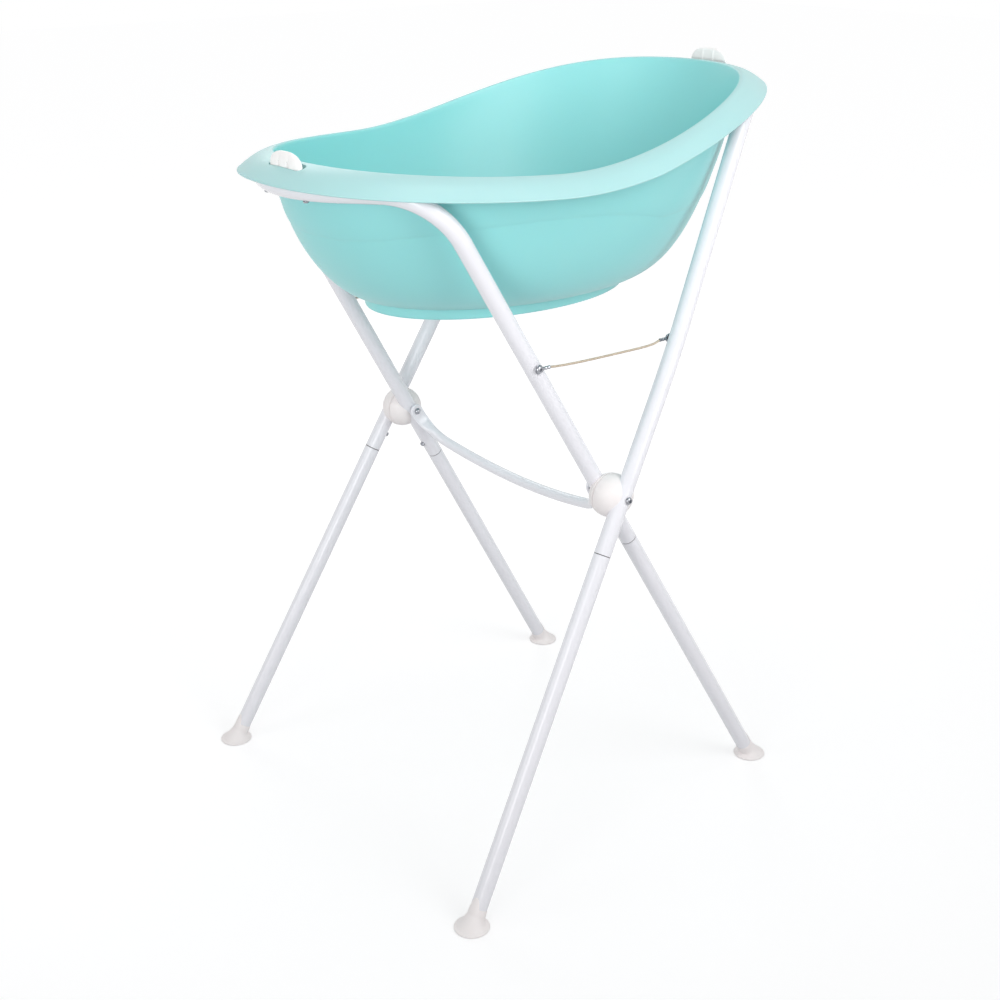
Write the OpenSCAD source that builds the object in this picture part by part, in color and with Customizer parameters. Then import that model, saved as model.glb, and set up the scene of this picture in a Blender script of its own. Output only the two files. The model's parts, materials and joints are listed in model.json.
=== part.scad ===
// Baby bathtub: a moulded tub resting on two crossed tube frames that fold about a common pivot.
// Millimetres, +Z up, +X from the foot end to the head end, origin on the floor under the tub.

/* [Tub] */
// Overall length of the rim
tub_l = 780; // [680:5:880]
// Overall width of the rim
tub_w = 504; // [450:2:560]
// Height of the lowest part of the rim ridge above the floor
rim_z = 908; // [840:2:980]
// Rise of the ridge towards the head end
head_rise = 80; // [65:1:95]
// Rise of the ridge towards the foot end
foot_rise = 12; // [4:1:20]
// Fall of the rim band from the ridge to its outer edge
band_drop = 20.5; // [17:0.5:24]
// Depth that the outer edge turns down below the band
lip_h = 0.5; // [0.2:0.1:2]
// Wall thickness of the moulding
wall_t = 3; // [2.5:0.1:4]
// Depth of the tub from the lowest rim to the underside of the base ring
tub_depth = 188; // [160:2:215]
// Height of the base ring under the tub
base_h = 14; // [10:1:18]

/* [Frames] */
// Outside diameter of the frame tubes
tube_d = 22; // [18:0.5:24]
// Wall thickness of the frame tubes
tube_t = 1.2; // [0.8:0.1:1.8]
// Height of the pivot axis above the floor
pivot_z = 497; // [450:1:540]
// Sideways gap between the two tubes of a pivot
pivot_gap = 18.2; // [14:0.2:24]
// Radius of the bend between leg and loop of the foot-end frame
bend_ra = 90; // [70:1:100]
// Radius of the bend between leg and loop of the head-end frame
bend_rb = 45; // [36:1:50]
// Diameter of the pivot bosses
boss_d = 55; // [46:1:62]
// Diameter of the crossbar
bar_d = 14; // [10:0.5:16]
// Diameter of the pivot bolts
bolt_d = 8; // [6:0.5:10]
// Diameter of the snap buttons
button_d = 6.8; // [5:0.2:8]
// Press travel of the snap buttons
button_travel = 3; // [2:0.1:3.4]

/* [Feet and catches] */
// Diameter of the foot pads
pad_d = 46; // [40:1:54]
// Thickness of the foot pads
pad_h = 6; // [4:0.5:9]
// Width of the rim catches
catch_w = 62; // [50:1:76]
// Height of the rim catches above the ridge
catch_h = 15; // [10:1:18]
// Thickness of the catch plates
catch_t = 5.5; // [4:0.1:6.5]

/* [Stay cables] */
// Diameter of the coated stay cables
cable_d = 3; // [2:0.2:4]
// Distance from the pivot to the cable screws along the frames
cable_r = 212; // [170:2:240]

/* [Hidden] */
$fn = 48;

mint = [0.62, 0.85, 0.85];
white = [0.93, 0.93, 0.95];
cream = [0.95, 0.94, 0.91];
chrome = [0.75, 0.76, 0.78];
tan_coat = [0.82, 0.76, 0.66];

// Plan of the tub
half_l = tub_l / 2;
band_side = 30;
band_foot = 44;
band_head = 66;
wide_x = 4;
ridge_b = tub_w / 2 - band_side;
foot_tip = -half_l + band_foot;
head_tip = half_l - band_head;
ridge_af = wide_x - foot_tip;
ridge_ah = head_tip - wide_x;
pow_f = 2.25;
pow_h = 2.04;
edge_h = 1.78;
base_z = rim_z - tub_depth;
base_x = -0.115 * half_l;
base_a = 0.497 * half_l;
base_b = 0.5675 * ridge_b;
rise_x1 = -0.29 * half_l;
rise_x2 = 0.867 * half_l;
NA = 72;

function sgn_pow(c, e) = (c < 0 ? -1 : 1) * pow(abs(c), e);
function oval(af, ah, b, x0, pf, ph, i) =
  let (th = 360 * (i + 0.5) / NA, c = cos(th), s = sin(th), n = c < 0 ? pf : ph)
  [x0 + (c < 0 ? af : ah) * sgn_pow(c, 2 / n), b * sgn_pow(s, 2 / n)];
function ridge_xy(i, d) = oval(ridge_af + d, ridge_ah + d, ridge_b + d, wide_x, pow_f, pow_h, i);
function edge_xy(i, d) =
  oval(
    ridge_af + band_foot + d, ridge_ah + band_head + d, ridge_b + band_side + d,
    wide_x, pow_f, edge_h, i
  );
function base_xy(i, d) = oval(base_a + d, base_a + d, base_b + d, base_x, 2, 2, i);
function ease(u) = let (v = min(1, max(0, u))) v * v * (3 - 2 * v);
function ridge_z(x) =
  rim_z + head_rise * ease((x - rise_x1) / (rise_x2 - rise_x1))
  + foot_rise * pow(max(0, (rise_x1 - x) / (rise_x1 - foot_tip)), 1.5);
function rz(i) = ridge_z(ridge_xy(i, 0)[0]);
function mix(a, b, g) = a + (b - a) * g;

// The wall stands steeper at the foot end and fuller towards the base at the head end
function foot_share(i) = (1 - cos(360 * (i + 0.5) / NA)) / 2;
function swell(t, i) =
  let (g = foot_share(i)) pow(1 - pow(1 - t, mix(0.954, 1.93, g)), 1 / mix(2.56, 1.534, g));

// Rings of the moulding, listed from the underside over the rim to the inner floor
function ring_base(d, z) = [for (i = [0:NA - 1]) concat(base_xy(i, d), z)];
function ring_wall(t, d) = [
  for (i = [0:NA - 1])
    let (
      p = mix(base_xy(i, 3), ridge_xy(i, -3), swell(t, i)),
      q = p - base_xy(i, 0),
      u = q / max(0.001, norm(q))
    )
    concat(p + d * u, mix(base_z + base_h, rz(i) - 7, t))
];
function ring_in(t) = [
  for (i = [0:NA - 1])
    concat(
      mix(base_xy(i, 3 - 1.1 * wall_t), ridge_xy(i, -3 - wall_t * (1.1 - 0.85 * pow(t, 6))), swell(t, i)),
      mix(base_z + base_h + wall_t, rz(i) - 3, t)
    )
];
function ring_ridge(d, dz) = [for (i = [0:NA - 1]) concat(ridge_xy(i, d), rz(i) + dz)];
function ring_band(g, dz) = [
  for (i = [0:NA - 1])
    concat(
      mix(ridge_xy(i, 2.5), edge_xy(i, -1.2), g),
      rz(i) - mix(0.4, band_drop - 0.4, g) + crown * sin(180 * g) + dz
    )
];
function ring_edge(d, dz) = [for (i = [0:NA - 1]) concat(edge_xy(i, d), rz(i) + dz)];
step_t = 0.8;
crown = 3;
edge_low = -band_drop - 0.6 * wall_t - lip_h;
wall_steps = [0.004, 0.03, 0.08, 0.16, 0.27, 0.4, 0.54, 0.68];
tub_rings = concat(
  [
    ring_base(-6, base_z + base_h - 3), ring_base(-5.4, base_z + 1.5), ring_base(-4.4, base_z),
    ring_base(-1.2, base_z), ring_base(-0.2, base_z + 1.5), ring_base(0.4, base_z + base_h)
  ],
  [for (t = wall_steps) ring_wall(t, 0)],
  [
    ring_wall(step_t, 0), ring_wall(step_t + 0.012, 1.4), ring_wall(0.9, 1.4), ring_wall(1, 1.2),
    ring_band(0.12, -wall_t - 1)
  ],
  [for (g = [0.35, 0.65, 0.92]) ring_band(g, -wall_t)],
  [
    ring_edge(-1.8, edge_low), ring_edge(-0.8, edge_low), ring_edge(0, edge_low + 0.9),
    ring_edge(0, -band_drop - 0.8), ring_edge(-0.5, -band_drop)
  ],
  [for (g = [0.95, 0.7, 0.45, 0.2]) ring_band(g, 0)],
  [ring_band(0, 0.1), ring_ridge(0.6, 0), ring_ridge(-1, -0.3), ring_ridge(-2, -1.2)],
  [for (t = [0.97, 0.86]) ring_in(t)],
  [for (k = [len(wall_steps) - 1:-1:0]) ring_in(wall_steps[k])]
);
NR = len(tub_rings);
tub_points = concat(
  [for (r = tub_rings) for (p = r) p],
  [[base_x, 0, base_z + base_h - 3], [base_x, 0, base_z + base_h + wall_t]]
);
function ring_face(k, i) =
  let (j = (i + 1) % NA)
  [
    [k * NA + i, k * NA + j, (k + 1) * NA + j],
    [k * NA + i, (k + 1) * NA + j, (k + 1) * NA + i]
  ];
tub_faces = concat(
  [for (k = [0:NR - 2]) for (i = [0:NA - 1]) for (f = ring_face(k, i)) [f[0], f[2], f[1]]],
  [for (i = [0:NA - 1]) [NR * NA, i, (i + 1) % NA]],
  [for (i = [0:NA - 1]) [NR * NA + 1, (NR - 1) * NA + (i + 1) % NA, (NR - 1) * NA + i]]
);

// Frame lines: the foot-end frame is the inner one, the head-end frame the outer one
tube_r = tube_d / 2;
pivot_x = -0.11 * half_l;
fit = 0.075;
corner_za = rim_z - 10.5;
corner_zb = rim_z + 0.48 * head_rise;
corner_xa = -0.719 * half_l;
corner_xb = 0.5453 * half_l;
corner_ya = 0.8181 * ridge_b;
corner_yb = 0.838 * ridge_b;
lean_a = 0.0625;
lean_b = 0.0896;
pivot_ya = corner_ya + lean_a * (corner_za - pivot_z);
pivot_yb = pivot_ya + tube_d + pivot_gap;
knee_z = mix(pivot_z, corner_zb, 0.37);
knee_y = pivot_yb - lean_b * (knee_z - pivot_z);
run_a = (corner_xa - pivot_x) / (corner_za - pivot_z);
run_b = (corner_xb - pivot_x) / (corner_zb - pivot_z);
function axis_a(z, s) = [pivot_x + run_a * (z - pivot_z), s * (pivot_ya - lean_a * (z - pivot_z)), z];
function axis_b(z, s) = [pivot_x + run_b * (z - pivot_z), s * (pivot_yb - lean_b * (z - pivot_z)), z];
function unit(v) = v / norm(v);
dir_a = [for (s = [-1, 1]) unit(axis_a(1, s) - axis_a(0, s))];
dir_b = [for (s = [-1, 1]) unit(axis_b(1, s) - axis_b(0, s))];
function dir_of(d, s) = d[s < 0 ? 0 : 1];
len_a = norm(axis_a(1, 1) - axis_a(0, 1));
len_b = norm(axis_b(1, 1) - axis_b(0, 1));
function along_a(d, s) = axis_a(pivot_z + d / len_a, s);
function along_b(d, s) = axis_b(pivot_z + d / len_b, s);
split_a = -93;
split_b = -76;
button_a = -66;
button_b = -50;
spigot_l = 45;

// Loops under the rim: plan angle of the straight run, end position and upward tilt
loop_pa = 32.2;
loop_pb = 54;
loop_ta = -3.5;
loop_tb = 4;
end_xa = foot_tip - 20.6;
end_xb = head_tip + 16;

function fold_of(v, w) = acos(v * w);
function under(d) = unit([0, 0, -1] + d[2] * d);

module rod(p, q, r) {
  d = q - p;
  translate(p)
    rotate([0, acos(d[2] / norm(d)), atan2(d[1], d[0])])
      cylinder(h = norm(d), r = r);
}

// Thin collar that joins two tube pieces end to end
module collar(p, d, r) {
  rod(p - d * 0.6, p + d * 0.6, r + 0.2);
}

module turn(c, u, v, ang, big, r) {
  n = cross(u, v);
  translate(c)
    rotate([atan2(v[2], n[2]), asin(-u[2]), atan2(u[1], u[0])])
      rotate_extrude(angle = ang)
        translate([big, 0])
          circle(r);
}

// Bend of radius big between the directions d (coming) and t (leaving) at corner c
module corner_bend(c, d, t, big, r) {
  a = fold_of(d, t);
  n = unit(t - (t * d) * d);
  turn(c - d * (big * tan(a / 2)) + n * big, -n, d, a, big, r);
}

// Loop from the near corner round the end to the far corner
module loop_path(corner, start, knee, end_x, plan, tilt, bend, r) {
  dx = end_x < 0 ? -1 : 1;
  reach = corner[1] * tan(plan);
  span = (reach - abs(end_x - corner[0]) / cos(tilt)) / tan(plan / 2);
  tang = corner[1] / cos(plan) - span;
  big = span / tan(plan);
  u = [dx * cos(tilt), 0, sin(tilt)];
  for (s = [-1, 1]) {
    c = [corner[0], s * corner[1], corner[2]];
    t = sin(plan) * u - [0, s * cos(plan), 0];
    d = unit(c - knee[s < 0 ? 0 : 1]);
    rb = min(bend, 0.95 * tang / tan(fold_of(d, t) / 2));
    tb = rb * tan(fold_of(d, t) / 2);
    corner_bend(c, d, t, rb, r);
    rod(c + t * tb, c + t * tang, r);
    rod(start[s < 0 ? 0 : 1], c - d * tb, r);
    collar(c - d * tb, d, r);
    collar(c + t * tb, t, r);
    collar(c + t * tang, t, r);
  }
  o = [corner[0], 0, corner[2]] + u * (reach - span / sin(plan));
  turn(o, cos(plan) * u - [0, sin(plan), 0], sin(plan) * u + [0, cos(plan), 0], 2 * plan, big, r);
}

corner_a = [corner_xa, corner_ya, corner_za];
corner_b = [corner_xb, corner_yb, corner_zb];
end_za = corner_za + abs(end_xa - corner_xa) * tan(loop_ta);
end_zb = corner_zb + abs(end_xb - corner_xb) * tan(loop_tb);
knee_r = 1400;
function knee_pt(s) = [axis_b(knee_z, s)[0], s * knee_y, knee_z];
function upper_b(s) = unit([corner_xb, s * corner_yb, corner_zb] - knee_pt(s));
function knee_t(s) = knee_r * tan(fold_of(dir_of(dir_b, s), upper_b(s)) / 2);

module path_a(r, low) {
  loop_path(
    corner_a, [for (s = [-1, 1]) along_a(split_a - low, s)],
    [for (s = [-1, 1]) axis_a(pivot_z, s)], end_xa, loop_pa, loop_ta, bend_ra, r
  );
}

module path_b(r, low) {
  loop_path(
    corner_b, [for (s = [-1, 1]) knee_pt(s) + upper_b(s) * knee_t(s)],
    [for (s = [-1, 1]) knee_pt(s)], end_xb, loop_pb, loop_tb, bend_rb, r
  );
  for (s = [-1, 1]) {
    corner_bend(knee_pt(s), dir_of(dir_b, s), upper_b(s), knee_r, r);
    rod(along_b(split_b - low, s), knee_pt(s) - dir_of(dir_b, s) * knee_t(s), r);
    collar(knee_pt(s) - dir_of(dir_b, s) * knee_t(s), dir_of(dir_b, s), r);
    collar(knee_pt(s) + upper_b(s) * knee_t(s), upper_b(s), r);
  }
}

// Loop radii and the screw places on the loops
function loop_big(corner, end_x, plan, tilt) =
  (corner[1] * tan(plan) - abs(end_x - corner[0]) / cos(tilt)) / tan(plan / 2) / tan(plan);
big_a = loop_big(corner_a, end_xa, loop_pa, loop_ta);
big_b = loop_big(corner_b, end_xb, loop_pb, loop_tb);
screw_y = 42;
screw_back_a = big_a - sqrt(big_a * big_a - screw_y * screw_y);
screw_back_b = big_b - sqrt(big_b * big_b - screw_y * screw_y);
screw_xa = end_xa + screw_back_a;
screw_xb = end_xb - screw_back_b;

// Places of the cable screws
cable_a = [for (s = [-1, 1]) along_a(cable_r, s)];
function cable_pt_b(s) =
  let (z = pivot_z + cable_r / len_b, k = knee_pt(s), u = upper_b(s))
  z < knee_z ? along_b(cable_r, s) : k + u * ((z - knee_z) / u[2]);
cable_b = [for (s = [-1, 1]) cable_pt_b(s)];
eye_t = 1.6;
eye_r = 6;
ferrule_d = cable_d + 1.4;
ferrule_l = 12;
screw_d = 5;
eye_gap = 0.6;
eye_off = tube_r + eye_gap + eye_t / 2;
lean_up = max(lean_b, (knee_y - corner_yb) / (corner_zb - knee_z));
eye_off_a = eye_off + eye_r * lean_a;
eye_off_b = eye_off + eye_r * lean_up;
function eye_a(s) = let (p = cable_a[s < 0 ? 0 : 1]) [p[0], s * (abs(p[1]) + eye_off_a), p[2]];
function eye_b(s) = let (p = cable_b[s < 0 ? 0 : 1]) [p[0], s * (abs(p[1]) - eye_off_b), p[2]];
ferrule_0 = eye_r - 1;

module pivot_hole(y0, y1, d) {
  for (s = [-1, 1])
    rod([pivot_x, s * y0, pivot_z], [pivot_x, s * y1, pivot_z], d / 2);
}

module y_pin(p, y0, y1, r) {
  s = p[1] < 0 ? -1 : 1;
  rod([p[0], s * y0, p[2]], [p[0], s * y1, p[2]], r);
}

// The catches stand off the ridge and leave their slots inwards as the frames fold
catch_off_a = 10;
catch_off_b = 14;
slot_in = 8.5;
slot_out = 3;
slot_side = 1.5;

module tub_shell() {
  color(mint)
    difference() {
      polyhedron(points = tub_points, faces = tub_faces, convexity = 8);
      translate([foot_tip - catch_off_a - catch_t - slot_out, -catch_w / 2 - slot_side, rim_z - 20])
        cube([slot_in + catch_t + slot_out, catch_w + 2 * slot_side, 80]);
      translate([head_tip + catch_off_b - slot_in, -catch_w / 2 - slot_side, rim_z + head_rise - 30])
        cube([slot_in + catch_t + slot_out, catch_w + 2 * slot_side, 80]);
    }
}

// Frame tubes, hollow and open at their lower ends
module foot_frame_tube() {
  color(white)
    difference() {
      path_a(tube_r, 0);
      path_a(tube_r - tube_t, 2);
      pivot_hole(pivot_ya - 30, pivot_ya + 30, bolt_d + 2 * fit);
      for (s = [-1, 1]) {
        p = along_a(button_a, s);
        rod(p, p + under(dir_of(dir_a, s)) * 20, button_d / 2 + 0.35);
        y_pin(cable_a[s < 0 ? 0 : 1], pivot_ya - 16, pivot_ya + 12, screw_d / 2 + 0.1);
        rod([screw_xa, s * screw_y, end_za - 20], [screw_xa, s * screw_y, end_za + 20], 2.1);
      }
    }
}

module head_frame_tube() {
  color(white)
    difference() {
      path_b(tube_r, 0);
      path_b(tube_r - tube_t, 2);
      pivot_hole(pivot_yb - 30, pivot_yb + 30, bolt_d + 2 * fit);
      for (s = [-1, 1]) {
        p = along_b(button_b, s);
        rod(p, p + under(dir_of(dir_b, s)) * 20, button_d / 2 + 0.35);
        y_pin(cable_b[s < 0 ? 0 : 1], pivot_yb - 34, pivot_yb - 18, screw_d / 2 + 0.1);
        rod([screw_xb, s * screw_y, end_zb - 20], [screw_xb, s * screw_y, end_zb + 20], 2.1);
      }
    }
}

// Lower leg: a tube with a stepped-down spigot that plugs into the frame, with a shadow gap at the joint
pad_floor = 7;
joint_gap = 1.2;
module leg(top, d, up) {
  foot = top - d * ((top[2] - pad_floor) / d[2]);
  color(white)
    difference() {
      union() {
        rod(foot, top - d * joint_gap, tube_r);
        rod(top - d * 3, top + d * spigot_l, tube_r - tube_t - 0.05);
      }
      rod(foot - d, top + d * (spigot_l + 1), tube_r - 2 * tube_t - 0.05);
      rod(top + d * up, top + d * up + under(d) * 20, button_d / 2 + 0.35);
    }
}

module foot_frame_leg_near() {
  leg(along_a(split_a, -1), dir_a[0], button_a - split_a);
}

module foot_frame_leg_far() {
  leg(along_a(split_a, 1), dir_a[1], button_a - split_a);
}

module head_frame_leg_near() {
  leg(along_b(split_b, -1), dir_b[0], button_b - split_b);
}

module head_frame_leg_far() {
  leg(along_b(split_b, 1), dir_b[1], button_b - split_b);
}

// Foot pad: a flared disc with a slanted socket and a tongue up the leg
neck_t = 2.6;
module pad(p, d) {
  q = p + d * (pad_floor / d[2]);
  a = atan2(d[1], d[0]);
  tip = acos(d[2]);
  color(cream)
    difference() {
      union() {
        translate([p[0], p[1], 0])
          rotate_extrude()
            union() {
              square([pad_d / 2 - 2.5, pad_h]);
              translate([0, 2.5])
                square([pad_d / 2, pad_h - 4]);
              translate([pad_d / 2 - 2.5, 2.5])
                circle(2.5);
              polygon([[0, pad_h], [pad_d / 2 - 2, pad_h], [tube_r + 5, pad_h + 5], [0, pad_h + 5]]);
            }
        intersection() {
          translate(q)
            rotate([0, tip, a])
              translate([0, 0, -20])
                cylinder(h = 46, r = tube_r + neck_t);
          translate([p[0] - 60, p[1] - 60, 0])
            cube([120, 120, 120]);
        }
        translate(q)
          rotate([0, tip, a])
            rotate([0, 0, 145])
              translate([0, 0, 10])
                rotate_extrude(angle = 70)
                  translate([tube_r + 0.05, 0])
                    square([neck_t - 0.6, 34]);
      }
      translate(q)
        rotate([0, tip, a])
          cylinder(h = 90, r = tube_r + 0.05);
    }
}

module foot_frame_pad_near() {
  pad(axis_a(0, -1), dir_a[0]);
}

module foot_frame_pad_far() {
  pad(axis_a(0, 1), dir_a[1]);
}

module head_frame_pad_near() {
  pad(axis_b(0, -1), dir_b[0]);
}

module head_frame_pad_far() {
  pad(axis_b(0, 1), dir_b[1]);
}

// Pivot bosses: each half is saddled on its own tube and turns against the other half
split_y = pivot_ya + tube_r + 2.2;
module boss_slab(y0, y1, yc) {
  for (s = [-1, 1])
    intersection() {
      translate([pivot_x, s * yc, pivot_z])
        sphere(boss_d / 2);
      rod([pivot_x, s * y0, pivot_z], [pivot_x, s * y1, pivot_z], boss_d);
    }
}

module foot_frame_bosses() {
  color(cream)
    difference() {
      boss_slab(pivot_ya + tube_r - 9, split_y - 0.15, split_y);
      for (s = [-1, 1])
        rod(along_a(-80, s), along_a(80, s), tube_r + 0.05);
      pivot_hole(pivot_ya - 10, split_y + 5, bolt_d + 2 * fit);
    }
}

module head_frame_bosses() {
  color(cream)
    difference() {
      boss_slab(split_y + 0.15, pivot_yb - tube_r + 6, split_y - 2.5);
      for (s = [-1, 1])
        rod(along_b(-80, s), along_b(80, s), tube_r + 0.05);
      pivot_hole(split_y - 5, pivot_yb + 10, bolt_d + 2 * fit);
    }
}

// Crossbar hung on the pivot bolts, bowed along the legs of the foot-end frame
bar_r = bar_d / 2;
paddle_t = 4.4;
paddle_y = pivot_ya - tube_r - 2.6;
down_a = unit([-run_a, 0, -1]);
bar_start = 7.5;
bar_bend = 45;
bar_turn = 76;
bar_y = paddle_y - bar_r - 0.3;
bow_y = bar_y - bar_bend + bar_bend * cos(bar_turn);
bow_s = bar_start + bar_bend * sin(bar_turn);
bow_r = bow_y / sin(90 - bar_turn);
bow_o = bow_s - bow_r * cos(90 - bar_turn);
function on_bar(y, s) = [pivot_x + s * down_a[0], y, pivot_z + s * down_a[2]];

module crossbar() {
  color(white)
    difference() {
      union() {
        for (s = [-1, 1]) {
          y0 = s * (paddle_y - paddle_t);
          y1 = s * paddle_y;
          turn(on_bar(s * (bar_y - bar_bend), bar_start), [0, s, 0], down_a, bar_turn, bar_bend, bar_r);
          collar(on_bar(s * bow_y, bow_s), [0, -s * sin(bar_turn), 0] + cos(bar_turn) * down_a, bar_r);
          rod([pivot_x, y0, pivot_z], [pivot_x, y1, pivot_z], 10);
          rod(on_bar(y0, 14), on_bar(y1, 14), 10);
          translate(on_bar(s * (paddle_y - paddle_t / 2), 7))
            rotate([0, -atan2(down_a[0], -down_a[2]), 0])
              cube([19.9, paddle_t, 14], center = true);
        }
        turn(
          on_bar(0, bow_o), [0, -sin(90 - bar_turn), 0] + cos(90 - bar_turn) * down_a,
          [0, cos(90 - bar_turn), 0] + sin(90 - bar_turn) * down_a, 2 * (90 - bar_turn), bow_r, bar_r
        );
      }
      pivot_hole(paddle_y - 30, paddle_y + 5, bolt_d);
    }
}

// Pivot bolts with domed heads outside and domed nuts inside
bolt_head_r = 0.72 * bolt_d;
head_y = pivot_yb + tube_r + 0.3 + bolt_head_r * lean_b;
nut_y = paddle_y - paddle_t;
module dome(p, s, y, r, h) {
  big = (r * r + h * h) / (2 * h);
  intersection() {
    translate([p[0], s * (y + h - big), p[2]])
      sphere(big);
    rod([p[0], s * y, p[2]], [p[0], s * (y + h), p[2]], r);
  }
}

module pivot_bolts() {
  color(chrome)
    for (s = [-1, 1]) {
      rod([pivot_x, s * (nut_y - 6), pivot_z], [pivot_x, s * (head_y + 1), pivot_z], bolt_d / 2);
      dome([pivot_x, 0, pivot_z], s, head_y, bolt_head_r, 3.6);
    }
}

module pivot_nuts() {
  color(chrome)
    for (s = [-1, 1])
      difference() {
        union() {
          rod([pivot_x, s * (nut_y - 4), pivot_z], [pivot_x, s * nut_y, pivot_z], bolt_d / 2 + 2.4);
          mirror([0, 1, 0])
            dome([pivot_x, 0, pivot_z], s, -(nut_y - 4), bolt_d / 2 + 1.6, 4);
        }
        rod([pivot_x, s * (nut_y - 6), pivot_z], [pivot_x, s * (nut_y + 1), pivot_z], bolt_d / 2);
      }
}

module pivot_washers() {
  color(chrome)
    for (s = [-1, 1])
      difference() {
        rod([pivot_x, s * paddle_y, pivot_z], [pivot_x, s * (paddle_y + 1.6), pivot_z], bolt_d / 2 + 3.4);
        rod([pivot_x, s * (paddle_y - 1), pivot_z], [pivot_x, s * (paddle_y + 3), pivot_z], bolt_d / 2);
      }
}

// Rim catch: a saddle on the loop with a rounded ribbed plate standing through the rim
module catch_plate(h) {
  r = catch_w * 0.3;
  arch = catch_w * 0.9;
  intersection() {
    union() {
      translate([-catch_w / 2, 0])
        square([catch_w, h - r]);
      translate([-catch_w / 2 + r, 0])
        square([catch_w - 2 * r, h]);
      for (s = [-1, 1])
        translate([s * (catch_w / 2 - r), h - r])
          circle(r);
    }
    translate([0, h - arch])
      circle(arch);
    translate([-catch_w, 0])
      square([2 * catch_w, 2 * h]);
  }
}

// Curved block that follows the loop, between two radii and two heights
module arc_block(c, u, v, ang, r0, r1, z0, z1) {
  n = cross(u, v);
  translate(c)
    rotate([atan2(v[2], n[2]), asin(-u[2]), atan2(u[1], u[0])])
      rotate_extrude(angle = ang)
        translate([r0, min(z0, z1)])
          square([r1 - r0, abs(z1 - z0)]);
}

// dx is the direction from the tub to the loop end
saddle_low = 4;
saddle_cap = 2;
module rim_catch(dx, end_x, end_z, tip, off, big, tilt, top) {
  low = end_z + tube_r + 0.8;
  x0 = tip + dx * off;
  c = [end_x - dx * big * cos(tilt), 0, end_z - big * sin(tilt)];
  out = [dx * cos(tilt), 0, sin(tilt)];
  h = asin((screw_y + 7) / big);
  r0 = big - max(9, abs(end_x - x0) - 1);
  union() {
    difference() {
      arc_block(
        c, out * cos(h) - [0, sin(h), 0], out * sin(h) + [0, cos(h), 0], 2 * h,
        r0, big + 3, -dx * saddle_low, dx * (tube_r + saddle_cap)
      );
      turn(
        c, out * 0.5 - [0, sqrt(0.75), 0], out * sqrt(0.75) + [0, 0.5, 0],
        120, big, tube_r + 0.05
      );
    }
    translate([x0, 0, low])
      rotate([90, 0, dx * 90])
        linear_extrude(catch_t)
          catch_plate(top - low);
    for (s = [-1, 1])
      rod([x0 + dx * catch_t, s * 9, low + 0.5], [x0 + dx * catch_t, s * 9, top - 5], 1.6);
  }
}

module foot_catch() {
  color(white)
    rim_catch(-1, end_xa, end_za, foot_tip, catch_off_a, big_a, loop_ta, ridge_z(foot_tip) + catch_h);
}

module head_catch() {
  color(white)
    rim_catch(1, end_xb, end_zb, head_tip, catch_off_b, big_b, loop_tb, ridge_z(head_tip) + catch_h);
}

// Screws driven up through the loop into the saddle
module catch_screw(x, y, z) {
  translate([x, y, z - tube_r - 2.2])
    union() {
      cylinder(h = 2, r = 3.8);
      cylinder(h = 2 * tube_r + 2.2 + saddle_cap - 0.2, r = 2);
    }
}

module foot_catch_screws() {
  color(chrome)
    for (s = [-1, 1])
      catch_screw(screw_xa, s * screw_y, end_za - screw_back_a * tan(loop_ta));
}

module head_catch_screws() {
  color(chrome)
    for (s = [-1, 1])
      catch_screw(screw_xb, s * screw_y, end_zb - screw_back_b * tan(loop_tb));
}

// Cable fittings: a ring eye held by a domed screw, with a crimped ferrule
module eye(p, t) {
  difference() {
    union() {
      rod(p - [0, eye_t / 2, 0], p + [0, eye_t / 2, 0], eye_r);
      rod(p + t * ferrule_0, p + t * (ferrule_0 + ferrule_l), ferrule_d / 2);
    }
    rod(p - [0, 9, 0], p + [0, 9, 0], screw_d / 2);
  }
}

function cable_dir(s) = unit(eye_b(s) - eye_a(s));

module foot_frame_cable_eyes() {
  color(chrome)
    for (s = [-1, 1])
      eye(eye_a(s), cable_dir(s));
}

module head_frame_cable_eyes() {
  color(chrome)
    for (s = [-1, 1])
      eye(eye_b(s), -cable_dir(s));
}

module foot_frame_cable_screws() {
  color(chrome)
    for (s = [-1, 1]) {
      y = abs(eye_a(s)[1]) + eye_t / 2;
      y_pin(eye_a(s), y - tube_r, y, screw_d / 2);
      dome([eye_a(s)[0], 0, eye_a(s)[2]], s, y, screw_d, 2.6);
    }
}

module head_frame_cable_screws() {
  color(chrome)
    for (s = [-1, 1]) {
      y = abs(eye_b(s)[1]) - eye_t / 2;
      y_pin(eye_b(s), y, y + tube_r, screw_d / 2);
      mirror([0, 1, 0])
        dome([eye_b(s)[0], 0, eye_b(s)[2]], s, -y, screw_d, 2.6);
    }
}

// Stay cable: a gentle S between the two ferrules
cable_rings = 30;
cable_sides = 8;
sway = 4;
cable_in = ferrule_0 + ferrule_l;
function cable_at(s, t) =
  mix(eye_a(s) + cable_dir(s) * cable_in, eye_b(s) - cable_dir(s) * cable_in, t)
  + [0, 0, sway * sin(360 * t) * sin(180 * t)];
function cable_ring(s, k) =
  let (
    t = k / cable_rings,
    c = cable_at(s, t),
    d = k == 0 || k == cable_rings ? cable_dir(s)
      : unit(cable_at(s, t + 0.01) - cable_at(s, t - 0.01)),
    u = unit(cross([0, 1, 0], d)),
    v = cross(d, u)
  )
  [for (i = [0:cable_sides - 1]) c + (u * cos(45 * i) + v * sin(45 * i)) * cable_d / 2];

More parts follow.
